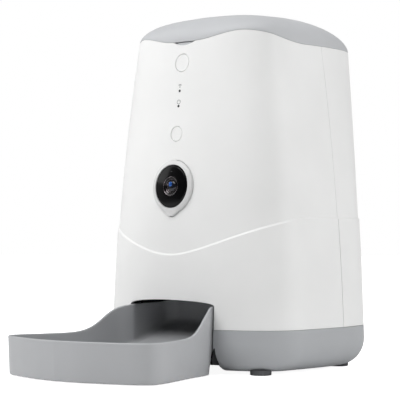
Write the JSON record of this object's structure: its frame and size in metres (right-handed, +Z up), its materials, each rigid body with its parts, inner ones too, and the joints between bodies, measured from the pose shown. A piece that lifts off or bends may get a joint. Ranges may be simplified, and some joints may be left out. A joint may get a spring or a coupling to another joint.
{
  "type": "automatic pet feeder",
  "caption": "Free-standing automatic pet feeder with lift-off lid, hopper, motor-driven portioning rotor, camera, push buttons and a slide-out bowl.",
  "frame": {"origin": "centre of the footprint at floor level, on the undersides of the four feet", "axes": "+Z up, front with the bowl towards -Y, +X across"},
  "size_m": [0.2068, 0.3192, 0.31],
  "materials": {
    "white_shell": "fine satin",
    "grey_shell": "fine satin",
    "lid_grey": "fine satin",
    "bowl_grey": "fine satin",
    "black_plastic": "matte",
    "hopper_plastic": "frosted",
    "black_gloss": "mirror gloss",
    "lens_glass": "coated",
    "circuit_board": "solder mask",
    "bright_metal": "plated",
    "rubber": "matte",
    "silicone": "matte",
    "battery_wrap": "shrink wrap",
    "gear_plastic": "moulded acetal"
  },
  "bodies": {
    "housing": {"front_shell": "white_shell", "rear_shell": "white_shell", "base_shell": "grey_shell", "bay_liner": "black_plastic", "hopper": "hopper_plastic", "rotor_housing": "hopper_plastic", "chute": "black_plastic", "inner_deck": "black_plastic", "gearbox_housing": "black_plastic", "drive_motor": "bright_metal", "camera_bezel": "white_shell", "camera_glass": "black_gloss", "lens_barrel": "black_plastic", "lens_glass": "lens_glass", "camera_board": "circuit_board", "button_board": "circuit_board", "feed_switch": "black_plastic", "pair_switch": "black_plastic", "network_light": "hopper_plastic", "power_light": "hopper_plastic", "microphone": "bright_metal", "main_board": "circuit_board", "speaker": "black_plastic", "power_socket": "black_plastic", "battery_tray": "black_plastic", "battery_cell_1": "battery_wrap", "battery_cell_2": "battery_wrap", "battery_cell_3": "battery_wrap", "contact_plate_front": "bright_metal", "contact_plate_rear": "bright_metal", "foot_front_left": "rubber", "foot_front_right": "rubber", "foot_rear_left": "rubber", "foot_rear_right": "rubber", "pillar_front_left": "black_plastic", "pillar_front_right": "black_plastic", "pillar_rear_left": "black_plastic", "pillar_rear_right": "black_plastic", "base_screw_front_left": "bright_metal", "base_screw_front_right": "bright_metal", "base_screw_rear_left": "bright_metal", "base_screw_rear_right": "bright_metal"},
    "lid": {"lid_shell": "lid_grey", "lid_liner": "hopper_plastic", "lid_seal": "silicone", "desiccant_box": "hopper_plastic"},
    "bowl": {"bowl": "bowl_grey"},
    "feed_button": {"feed_button": "white_shell"},
    "pair_button": {"pair_button": "white_shell"},
    "rotor": {"impeller": "silicone", "rotor_shaft": "bright_metal", "output_gear": "gear_plastic"},
    "pinion": {"motor_pinion": "bright_metal", "motor_shaft": "bright_metal"},
    "battery_door": {"battery_door": "grey_shell"}
  },
  "joints": [
    {"name": "lid_lift", "type": "slide", "parent": "housing", "child": "lid", "axis": [0, 0, 1], "range_m": [0, 0.06]},
    {"name": "bowl_slide", "type": "slide", "parent": "housing", "child": "bowl", "axis": [0, -1, 0], "range_m": [0, 0.08]},
    {"name": "feed_button_press", "type": "slide", "parent": "housing", "child": "feed_button", "axis": [0, 0.9916, -0.1291], "range_m": [0, 0.0008], "stiffness_N_per_m": 400, "springref_m": -0.001},
    {"name": "pair_button_press", "type": "slide", "parent": "housing", "child": "pair_button", "axis": [0, 0.9949, -0.1007], "range_m": [0, 0.0008], "stiffness_N_per_m": 400, "springref_m": -0.001},
    {"name": "rotor_turn", "type": "hinge", "parent": "housing", "child": "rotor", "pos_m": [0, 0.0579, 0.12], "axis": [0, 0, 1], "continuous": true},
    {"name": "pinion_turn", "type": "hinge", "parent": "housing", "child": "pinion", "pos_m": [0, 0.0832, 0.093], "axis": [0, 0, 1], "continuous": true},
    {"name": "battery_door_slide", "type": "slide", "parent": "housing", "child": "battery_door", "axis": [0, 1, 0], "range_m": [0, 0.06]}
  ],
  "couplings": [
    {"joint": "pinion_turn", "follows": "rotor_turn", "ratio": -4}
  ]
}
